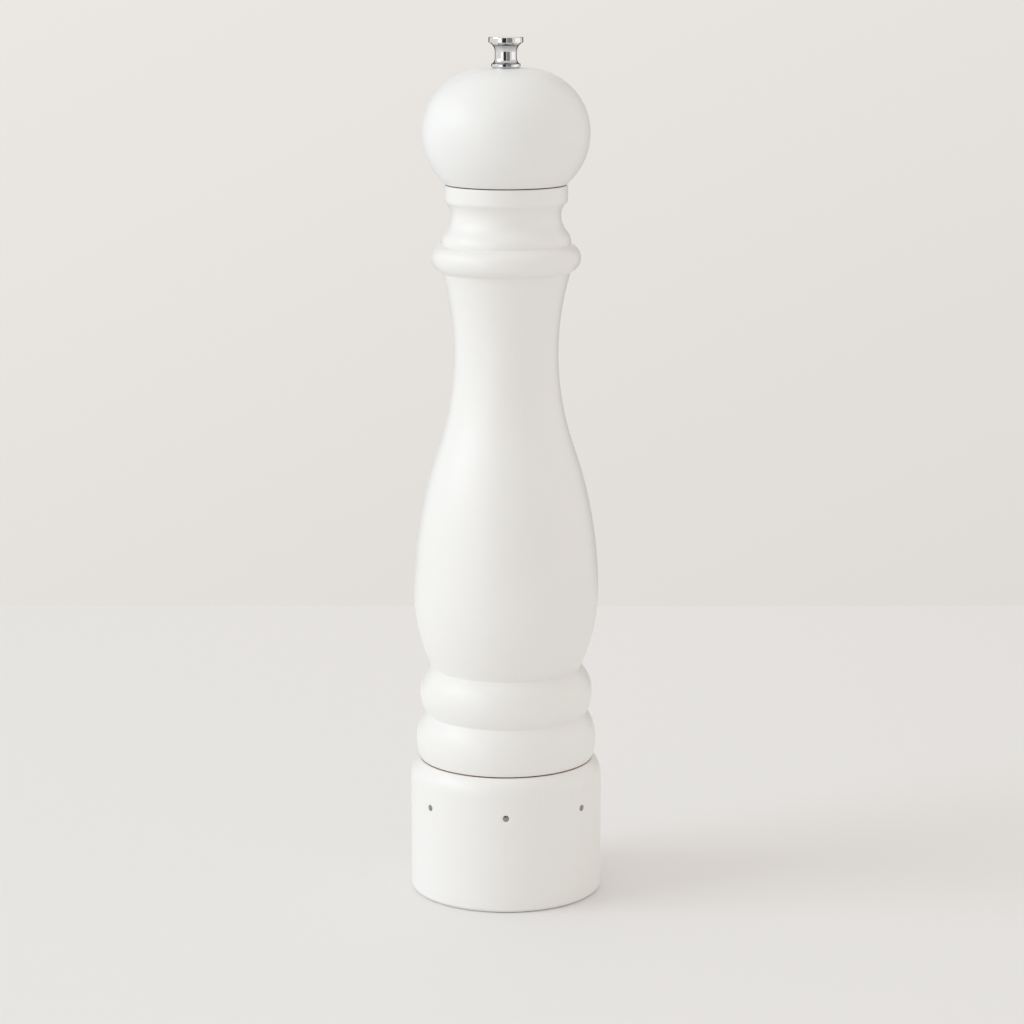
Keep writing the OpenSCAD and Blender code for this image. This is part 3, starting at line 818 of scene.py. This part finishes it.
def laid_pin(angle, columns=40):
    """Grid of one pin: its own axis turned to point out from the mill."""
    flat = pin_face - pin_inner - dome
    line = np.vstack([
        [(pin_r - 0.15, 0), (pin_r, 0.15), (pin_r, flat - 0.05)],
        np.column_stack([pin_r * dome_steps, flat + dome * (1 - dome_steps**2)]),
    ])
    around = np.linspace(0, 2 * np.pi, columns, endpoint=False)
    own = revolve(line, around)
    out = np.array([np.cos(angle), np.sin(angle), 0])
    side = np.array([-np.sin(angle), np.cos(angle), 0])
    up = np.array([0, 0, 1.0])
    grid = own[..., :1] * side + own[..., 1:2] * up + (own[..., 2:] + pin_inner) * out
    grid[..., 2] += pin_z
    ends = [out * pin_inner, out * (pin_inner + flat + dome)]
    return grid, [end + (0, 0, pin_z) for end in ends]


pins = capped("setting_studs", [laid_pin(angle) for angle in pin_angles])
fit(pins, body="base", replaces="setting_pins", materials=[pin_steel])

# %% [markdown]
# ## The knob
# The knob screws onto the spindle and holds the head down. It is turned from one bar and
# chromed: a foot that flares onto its washer, a waist for two fingertips, and a bevelled
# disc on top. A mirror shows every kink, so its arcs are softened less than the wood's
# and take more points.

# %% Turn the knob
knob_r = high("knob")[0]
waist_r = 3.75
foot_r = 5.0
foot_edge_r = foot_r - 0.12
foot_flare_h, disc_flare_h = 3.1, 3.3
knob_bore_r = 2.55
bore_depth = 2.0
crease = 0.16
bevel_r = knob_r - 1.0
rim = 0.35
crown_rise = 0.12
crown_steps = np.linspace(0.88, 0.02, 12)

knob_outline = np.vstack([
    [(knob_bore_r, knob_top - bore_depth), (knob_bore_r, knob_bottom)],
    [(foot_r - 0.2, knob_bottom), (foot_r, knob_bottom + 0.2), (foot_r, foot_top - 0.1)],
    [(foot_edge_r, foot_top)],
    upright((foot_edge_r - crease, foot_top), (waist_r, knob_bottom + foot_flare_h)),
    upright((bevel_r - crease, bevel_bottom), (waist_r, disc_bottom - disc_flare_h))[::-1],
    [(bevel_r, bevel_bottom), (knob_r, disc_bottom)],
    arc((knob_r - rim, knob_top - rim - crown_rise), rim, 0, 80),
    np.column_stack([knob_r * crown_steps, knob_top - crown_rise * crown_steps**2]),
])
knob_line = thin(soften(knob_outline, 0.05, closed=False, step=0.02), turn_deg=3.0, stride=0.5)
knob_grid = revolve(knob_line, np.linspace(0, 2 * np.pi, 128, endpoint=False))
knob = capped("chromed_knob", [(knob_grid, on_axis(knob_top - bore_depth, knob_top))])
fit(knob, body="knob", replaces="knob", materials=[chrome])

# %% [markdown]
# ## The spindle
# A square bar that carries the turn of the head down to the grinder. Its lower end is
# turned round to run in the bridge, and its upper end is turned round and threaded for
# the knob. Each row of the grid is one cross-section: a square with eased corners, a
# circle, or a circle with a screw thread on it, which is a ridge whose height above the
# core depends on the angle and the height together.

# %% Make the spindle
square_side = 5.0
journal_r = 2.5
spindle_bottom, spindle_top = low("spindle")[2], high("spindle")[2]
square_bottom, square_top = 12.9, 246.0
plain_middle = 262.0
thread_bottom = 280.0
knob_pitch = 0.8
thread_depth = 0.42
spindle_columns = 96


def square_radius(angle, half, ease):
    """Distance from the axis to a square's side, held back at its corners."""
    reach = half / np.maximum(np.abs(np.cos(angle)), np.abs(np.sin(angle)))
    return np.minimum(reach, half * np.sqrt(2) - ease)


def ridge(height, angle, pitch, hand=1):
    """Screw thread from 0 in its groove to 1 on its crest, with sloped flanks."""
    phase = (height / pitch - hand * angle / (2 * np.pi)) % 1
    return np.clip((0.5 - np.abs(phase - 0.5)) * 4 - 0.5, 0, 1)


core_r = journal_r - thread_depth
around = np.linspace(0, 2 * np.pi, spindle_columns, endpoint=False)
smooth_z = np.array([spindle_bottom, spindle_bottom + 0.3, square_bottom - 0.2])
square_z = np.linspace(square_bottom, square_top, 12)
plain_z = np.array([square_top + 0.2, plain_middle, thread_bottom - 0.2])
thread_z = np.arange(thread_bottom, spindle_top - 0.5, knob_pitch / 10)
end_z = np.array([spindle_top - 0.4, spindle_top])
spindle_z = np.concatenate([smooth_z, square_z, plain_z, thread_z, end_z])[:, None]
spindle_radius = np.vstack([
    np.outer([journal_r - 0.3, journal_r, journal_r], np.ones(spindle_columns)),
    np.repeat(square_radius(around, square_side / 2, 0.35)[None], len(square_z), axis=0),
    np.full((len(plain_z), spindle_columns), journal_r),
    journal_r - thread_depth * (1 - ridge(thread_z[:, None], around, knob_pitch)),
    np.outer([core_r, core_r - 0.4], np.ones(spindle_columns)),
])
spindle_grid = rounds(spindle_radius, around, spindle_z)
spindle = capped("threaded_spindle", [(spindle_grid, on_axis(spindle_bottom, spindle_top))])
fit(spindle, body="drive", replaces="spindle", materials=[steel])

# %% [markdown]
# ## The burrs
# The cone and the ring are the heart of the mill. Above the throat both have coarse
# helical teeth that crack a peppercorn and draw it down, and below it fine teeth that
# grind it. Each row is a circle cut by a saw tooth, and the rows twist with height, which
# makes the helix. The cone's teeth grow from its crest radius inwards and the ring's
# from its crest radius outwards, so the gap between them is the grind setting.

# %% Teeth on a circle
throat_z = 18.0
tooth_twist = np.radians(3)
coarse_teeth = 10
fine_teeth = 30
burr_columns = 360
burr_around = np.linspace(0, 2 * np.pi, burr_columns, endpoint=False)
fine_depth = 0.6
coarse_depth = 1.5


def saw(teeth):
    """0 at a tooth's root, rising to 1 at its crest, then a steep fall."""
    u = (burr_around * teeth / (2 * np.pi)) % 1
    return np.where(u < 0.75, u / 0.75, (1 - u) / 0.25)


def toothed_rows(crest_r, heights, teeth, depth, lead):
    """Rows of points round toothed circles: radius crest + depth * (1 - saw)."""
    depth = np.broadcast_to(depth, crest_r.shape)[:, None]
    angle = burr_around + lead * (heights[:, None] - throat_z)
    return rounds(crest_r[:, None] + depth * (1 - saw(teeth)), angle, heights[:, None])


def plain_rows(radii, heights):
    """Rows of points round plain circles."""
    return revolve(np.column_stack([radii, heights]), burr_around)


print("a coarse tooth on the cone:", np.round(saw(coarse_teeth)[:burr_columns // coarse_teeth:6], 2))

# %% [markdown]
# The cone's rows go from the recess in its foot up over the teeth to the hub, and down
# the square hole, so the grid closes on itself. Its coarse teeth get shallower towards
# the top. The faces are left flat, as cut steel has hard edges.

# %% Make the cone
cone_bottom, cone_hub_top = low("rotor")[2], high("rotor")[2]
cone_foot_r, throat_r, cone_top_r = high("rotor")[0], 10.5, 5.5
cone_top, cone_hub_r = 34.0, 4.5
hole_half = 2.55
recess, recess_r, recess_edge_r = 2.0, 6.0, 7.0
foot_flat = 1.4
last_cut = 0.3

fine_z = np.linspace(cone_bottom, throat_z, 10)
fine_crest = np.interp(fine_z, [cone_bottom, throat_z], [cone_foot_r, throat_r]) - fine_depth
rise = np.linspace(0, 1, 32)
coarse_z = throat_z + 0.5 + (cone_top - throat_z - 0.5) * rise
coarse_cut = coarse_depth + (last_cut - coarse_depth) * rise
coarse_crest = (throat_r - 0.15) + (cone_top_r - throat_r + 0.15) * rise - coarse_cut
square_hole = square_radius(burr_around, hole_half, 0.1)
hole_rows = rounds(square_hole, burr_around, np.array([[cone_hub_top], [cone_bottom + recess]]))
cone_grid = np.concatenate([
    plain_rows(
        [recess_r, recess_edge_r, cone_foot_r - foot_flat],
        [cone_bottom + recess, cone_bottom, cone_bottom],
    ),
    toothed_rows(fine_crest, fine_z, fine_teeth, fine_depth, -tooth_twist),
    toothed_rows(coarse_crest, coarse_z, coarse_teeth, coarse_cut, tooth_twist),
    plain_rows(
        [cone_hub_r, cone_hub_r, cone_hub_r - 0.3], [cone_top + 0.1, cone_hub_top - 0.3, cone_hub_top]
    ),
    hole_rows,
])
cone = wrap("grinding_cone", cone_grid)
cone.data.shade_flat()
fit(cone, body="drive", replaces="rotor", materials=[burr])

# %% [markdown]
# The ring's bore follows the cone with the grind gap added, and then opens into a wide
# mouth. Its coarse teeth lean against the cone's, so a peppercorn is caught between them
# as in scissors.

# %% Make the toothed ring
ring_r = high("stator")[0]
ring_bottom, ring_top = low("stator")[2], high("stator")[2]
grind_gap = 0.45
mouth_r = 14.5
bottom_crest = cone_foot_r + grind_gap
throat_crest = throat_r + grind_gap
fine_z = np.linspace(ring_bottom, throat_z, 10)
fine_crest = np.interp(fine_z, [ring_bottom, throat_z], [bottom_crest, throat_crest])
coarse_z = np.linspace(throat_z + 0.5, ring_top, 26)
coarse_crest = np.interp(coarse_z, [throat_z + 0.5, ring_top + 1], [throat_crest + 0.1, mouth_r])
ring_grid = np.concatenate([
    toothed_rows(fine_crest, fine_z, fine_teeth, fine_depth, -tooth_twist),
    toothed_rows(coarse_crest, coarse_z, coarse_teeth, coarse_depth, -tooth_twist),
    plain_rows(
        [ring_r - 0.3, ring_r, ring_r, ring_r - 0.3],
        [ring_top, ring_top - 0.3, ring_bottom + 0.3, ring_bottom],
    ),
])
toothed_ring = wrap("toothed_ring", ring_grid)
toothed_ring.data.shade_flat()
fit(toothed_ring, body="stator", replaces="stator", materials=[burr])

# %% [markdown]
# ## The adjusting nut
# The nut is pinned into the base ring. Its bore has a coarse thread, and as the ring is
# turned the thread lifts or lowers the carrier with the toothed ring. A full turn would
# lift it by the thread's pitch, and that pitch is read from the coupling of the two
# joints in the frame, so the thread that is seen is the one that moves.

# %% Mould the nut
nut_bottom, nut_top = low("adjuster_nut")[2], high("adjuster_nut")[2]
nut_r = high("adjuster_nut")[0]
couplings = frame["record"]["behaviour"]["couplings"]
turn_per_lift = [c["ratio"] for c in couplings if c["follows"] == "stator_lift"][0]
nut_pitch = 2 * np.pi / turn_per_lift / MM
nut_crest_r = 22.12
nut_thread_depth = 0.75
nut_mouth_r = 23.4
relief_z = 24.0
relief_r = 23.5
thread_start = 0.6
thread_fade = 1.5

nut_around = np.linspace(0, 2 * np.pi, 144, endpoint=False)
nut_outer = soften(np.array([
    (relief_r, relief_z), (relief_r, nut_top), (nut_r, nut_top), (nut_r, nut_bottom),
    (nut_mouth_r, nut_bottom),
]), 0.15, closed=False)
thread_z = np.linspace(nut_bottom + thread_start, relief_z - 0.3, 90)[:, None]
fade = np.clip((thread_z - nut_bottom - thread_start) / thread_fade, 0, 1)
thread_ridge = ridge(thread_z, nut_around, nut_pitch, hand=-1) * fade
thread_radius = nut_crest_r + nut_thread_depth * (1 - thread_ridge)
thread_rows = rounds(thread_radius, nut_around, thread_z)
nut_grid = np.concatenate([revolve(thin(nut_outer), nut_around), thread_rows])
nut = wrap("threaded_nut", nut_grid)
print(f"thread pitch {nut_pitch:.2f} mm")
fit(nut, body="base", replaces="adjuster_nut", materials=[nylon])

# %% [markdown]
# ## The neck bush
# The bush in the neck is a plain sleeve with eased edges. The head's tenon turns in it
# with a tenth of a millimetre of play all round.

# %% Mould the neck bush
bush_play = 0.1
bush_in_r = head_tenon_r + bush_play
bush_top = high("neck_bush")[2]
bush_outline = [
    (bush_in_r + 0.25, bush_bottom), (bush_r, bush_bottom), (bush_r, bush_top),
    (bush_in_r + 0.5, bush_top), (bush_in_r, bush_top - 0.6), (bush_in_r, bush_bottom + 0.4),
]
neck_bush = turned_ring("neck_sleeve", bush_outline, bell=0.08)
fit(neck_bush, body="mill_body", replaces="neck_bush", materials=[nylon])

# %% [markdown]
# ## The springs
# A spring is a round wire carried along a helix. The path gives a point and the wire's
# circle stands square to the path there, with its first axis pointing away from the
# helix's own axis. The carrier's spring is squeezed as the carrier rises; here it is wound
# once, at its length in the frame, and doesn't follow the carrier.

# %% Wind the springs


def coiled(name, centre, coil_r, wire_r, bottom, top, turns, steps=40, sides=12):
    """Wire on a helix between two heights.

    Each point is path + wire_r * (cos b * outward + sin b * upward), where b goes round
    the wire.
    """
    share = np.linspace(0, 1, turns * steps + 1)
    angle = 2 * np.pi * turns * share
    outward = rounds(1.0, angle, 0.0)
    path = rounds(coil_r, angle, bottom + wire_r + (top - bottom - 2 * wire_r) * share) + [*centre, 0]
    forward = np.gradient(path, axis=0)
    forward /= np.linalg.norm(forward, axis=1, keepdims=True)
    upward = np.cross(forward, outward)
    b = np.linspace(0, 2 * np.pi, sides, endpoint=False)[:, None]
    section = np.cos(b) * outward[:, None] + np.sin(b) * upward[:, None]
    return capped(name, [(path[:, None] + wire_r * section, (path[0], path[-1]))])


spring_low, spring_high = low("carrier_spring"), high("carrier_spring")
spring_wire = 0.7
spring_coil_r = spring_high[0] - spring_wire
carrier_spring = coiled(
    "wound_carrier_spring", (0, 0), spring_coil_r, spring_wire, spring_low[2], spring_high[2], turns=3
)
dress(carrier_spring, wire_steel)
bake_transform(carrier_spring)
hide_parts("carrier_spring")
report(carrier_spring)

detent_low, detent_high = low("detent_spring"), high("detent_spring")
detent_centre = (detent_low[:2] + detent_high[:2]) / 2
detent_wire = 0.16
detent_coil_r = (detent_high[0] - detent_low[0]) / 2 - detent_wire
detent_spring = coiled(
    "wound_detent_spring", detent_centre, detent_coil_r, detent_wire, detent_low[2], detent_high[2],
    turns=5, steps=24, sides=8,
)
fit(detent_spring, body="base", replaces="detent_spring", materials=[wire_steel])

# %% [markdown]
# ## Finishes for the parts that stay as designed
# Washers, plates, screws and guides already have their true shape in the frame, so they
# keep it and only take a finish.

# %% Dress the other parts
stays = {
    steel: ["drive_plate", "rotor_pin", "thrust_pin", "mechanism_housing", "stator_carrier",
            "lower_bridge", "detent_ball", "knob_washer"],
    black_steel: ["drive_plate_screws", "housing_screws", "bridge_screws"],
    nylon: ["spindle_bush", "upper_guide"],
    # The slip washer's near-black is painted shade for the seam gap.
    fibre: ["slip_washer"],
}
for material, names in stays.items():
    for name in names:
        nodes[name].material_slots[0].material = material
    print(material.name, "on", ", ".join(names))

# %% [markdown]
# ## Studio
# The mill stands on a plain pale table in an even white room. A mirror needs something
# dark to reflect or it looks like paper, so five cards stand round the mill that show
# only in reflections: a bright, a dark and a grey one in front, and two dark ones behind,
# one on each side, that draw the edges of the chrome.

# %% Table and cards


def flat_card(name, corners, colour, glow=0.0):
    """Four corners as one plain face, which may shine by itself."""
    mesh = bpy.data.meshes.new(name)
    mesh.from_pydata(corners, [], [(0, 1, 2, 3)])
    card = bpy.data.objects.new(name, mesh)
    bpy.context.scene.collection.objects.link(card)
    f = Finish(name)
    shade = {"Base_Color": colour, "Roughness": 0.7, "Emission_Color": (1, 1, 1, 1)}
    dress(card, f.surface(**shade, Emission_Strength=glow))
    return card


table_back, table_reach = 0.436, 1.3
flat_card("table", [
    (-table_reach, -table_reach, 0), (table_reach, -table_reach, 0),
    (table_reach, table_back, 0), (-table_reach, table_back, 0),
], (0.862, 0.847, 0.838, 1))

card_away, card_low, card_high = 2.0, -2.0, 1.8


def mirror_card(name, from_deg, to_deg, glow):
    """Upright card that shows only in reflections.

    It stands between two directions seen from the mill, counted from straight ahead.
    """
    ends = np.radians([from_deg, to_deg])
    (x0, x1), (y0, y1) = card_away * np.sin(ends), -card_away * np.cos(ends)
    corners = [(x0, y0, card_low), (x1, y1, card_low), (x1, y1, card_high), (x0, y0, card_high)]
    card = flat_card(name, corners, (0, 0, 0, 1), glow)
    card.visible_camera = card.visible_diffuse = card.visible_shadow = False


for card in [
    ("bright_card", -54, -29, 1.15),
    ("dark_card", -24, 4, 0.006),
    ("grey_card", 8, 44, 0.22),
    ("left_edge_card", -166, -138, 0.03),
    ("right_edge_card", 138, 166, 0.03),
]:
    mirror_card(*card)
print("table and five cards")

# %% [markdown]
# A large soft window on the left lights the mill, and the room's own brightness and a
# faint second lamp fill the right, so the shadows are soft. The window's light is cool
# and the room's is warm, as by day. The room is a little brighter on one side and a
# little darker below, which keeps the wall from looking like flat paint.

# %% Room and lamps
room = Finish("room", "worlds", "Generated")
x, y, z = room.axes()
brightness = x.ramp((-0.17, 0.17), (0.815, 0.770)) + z.ramp((-0.23, -0.03), (-0.035, 0.02))
walls = room.add(
    "ShaderNodeBackground", {}, {"Color": (1.0, 0.970, 0.931, 1), "Strength": brightness}
)
room.add("ShaderNodeOutputWorld", {}, {"Surface": walls}, output=None)
bpy.context.scene.world = room.owner


mill_middle = np.array([0, 0, 0.15])


def soft_light(name, place, width, height, watts, colour):
    """An oblong lamp at place that looks at the middle of the mill."""
    data = bpy.data.lights.new(name, "AREA")
    data.shape, data.size, data.size_y = "RECTANGLE", width, height
    data.energy, data.color = watts, colour
    lamp = bpy.data.objects.new(name, data)
    bpy.context.scene.collection.objects.link(lamp)
    lamp.location = place
    x, y, z = mill_middle - place
    yaw = np.arctan2(y, x) - np.pi / 2
    pitch = np.arctan2(z, np.hypot(x, y)) + np.pi / 2
    lamp.rotation_euler = (pitch, 0, yaw)


soft_light("window", (-3.40, -0.84, 1.81), 2.3, 1.9, watts=52.0, colour=(0.775, 0.905, 1.0))
soft_light("fill", (1.80, -0.10, 0.35), 1.4, 0.7, watts=1.0, colour=(1.0, 0.97, 0.93))
print("a room, a window and a fill lamp")

# %% [markdown]
# The camera stands a little above the table and looks down at eleven degrees. Colours are
# shown as they are, without a film curve, because the room is already evenly lit.

# %% Camera
camera_data = bpy.data.cameras.new("camera")
camera_data.sensor_width = 36
camera_data.lens = 107.5
tilt_down = 11.39
camera = bpy.data.objects.new("camera", camera_data)
bpy.context.scene.collection.objects.link(camera)
camera.location = (0.00209, -1.0477, 0.3466)
camera.rotation_euler = (np.radians(90 - tilt_down), 0, 0)
bpy.context.scene.camera = camera
bpy.context.scene.view_settings.view_transform = "Standard"
print("camera", [round(c, 3) for c in camera.location])
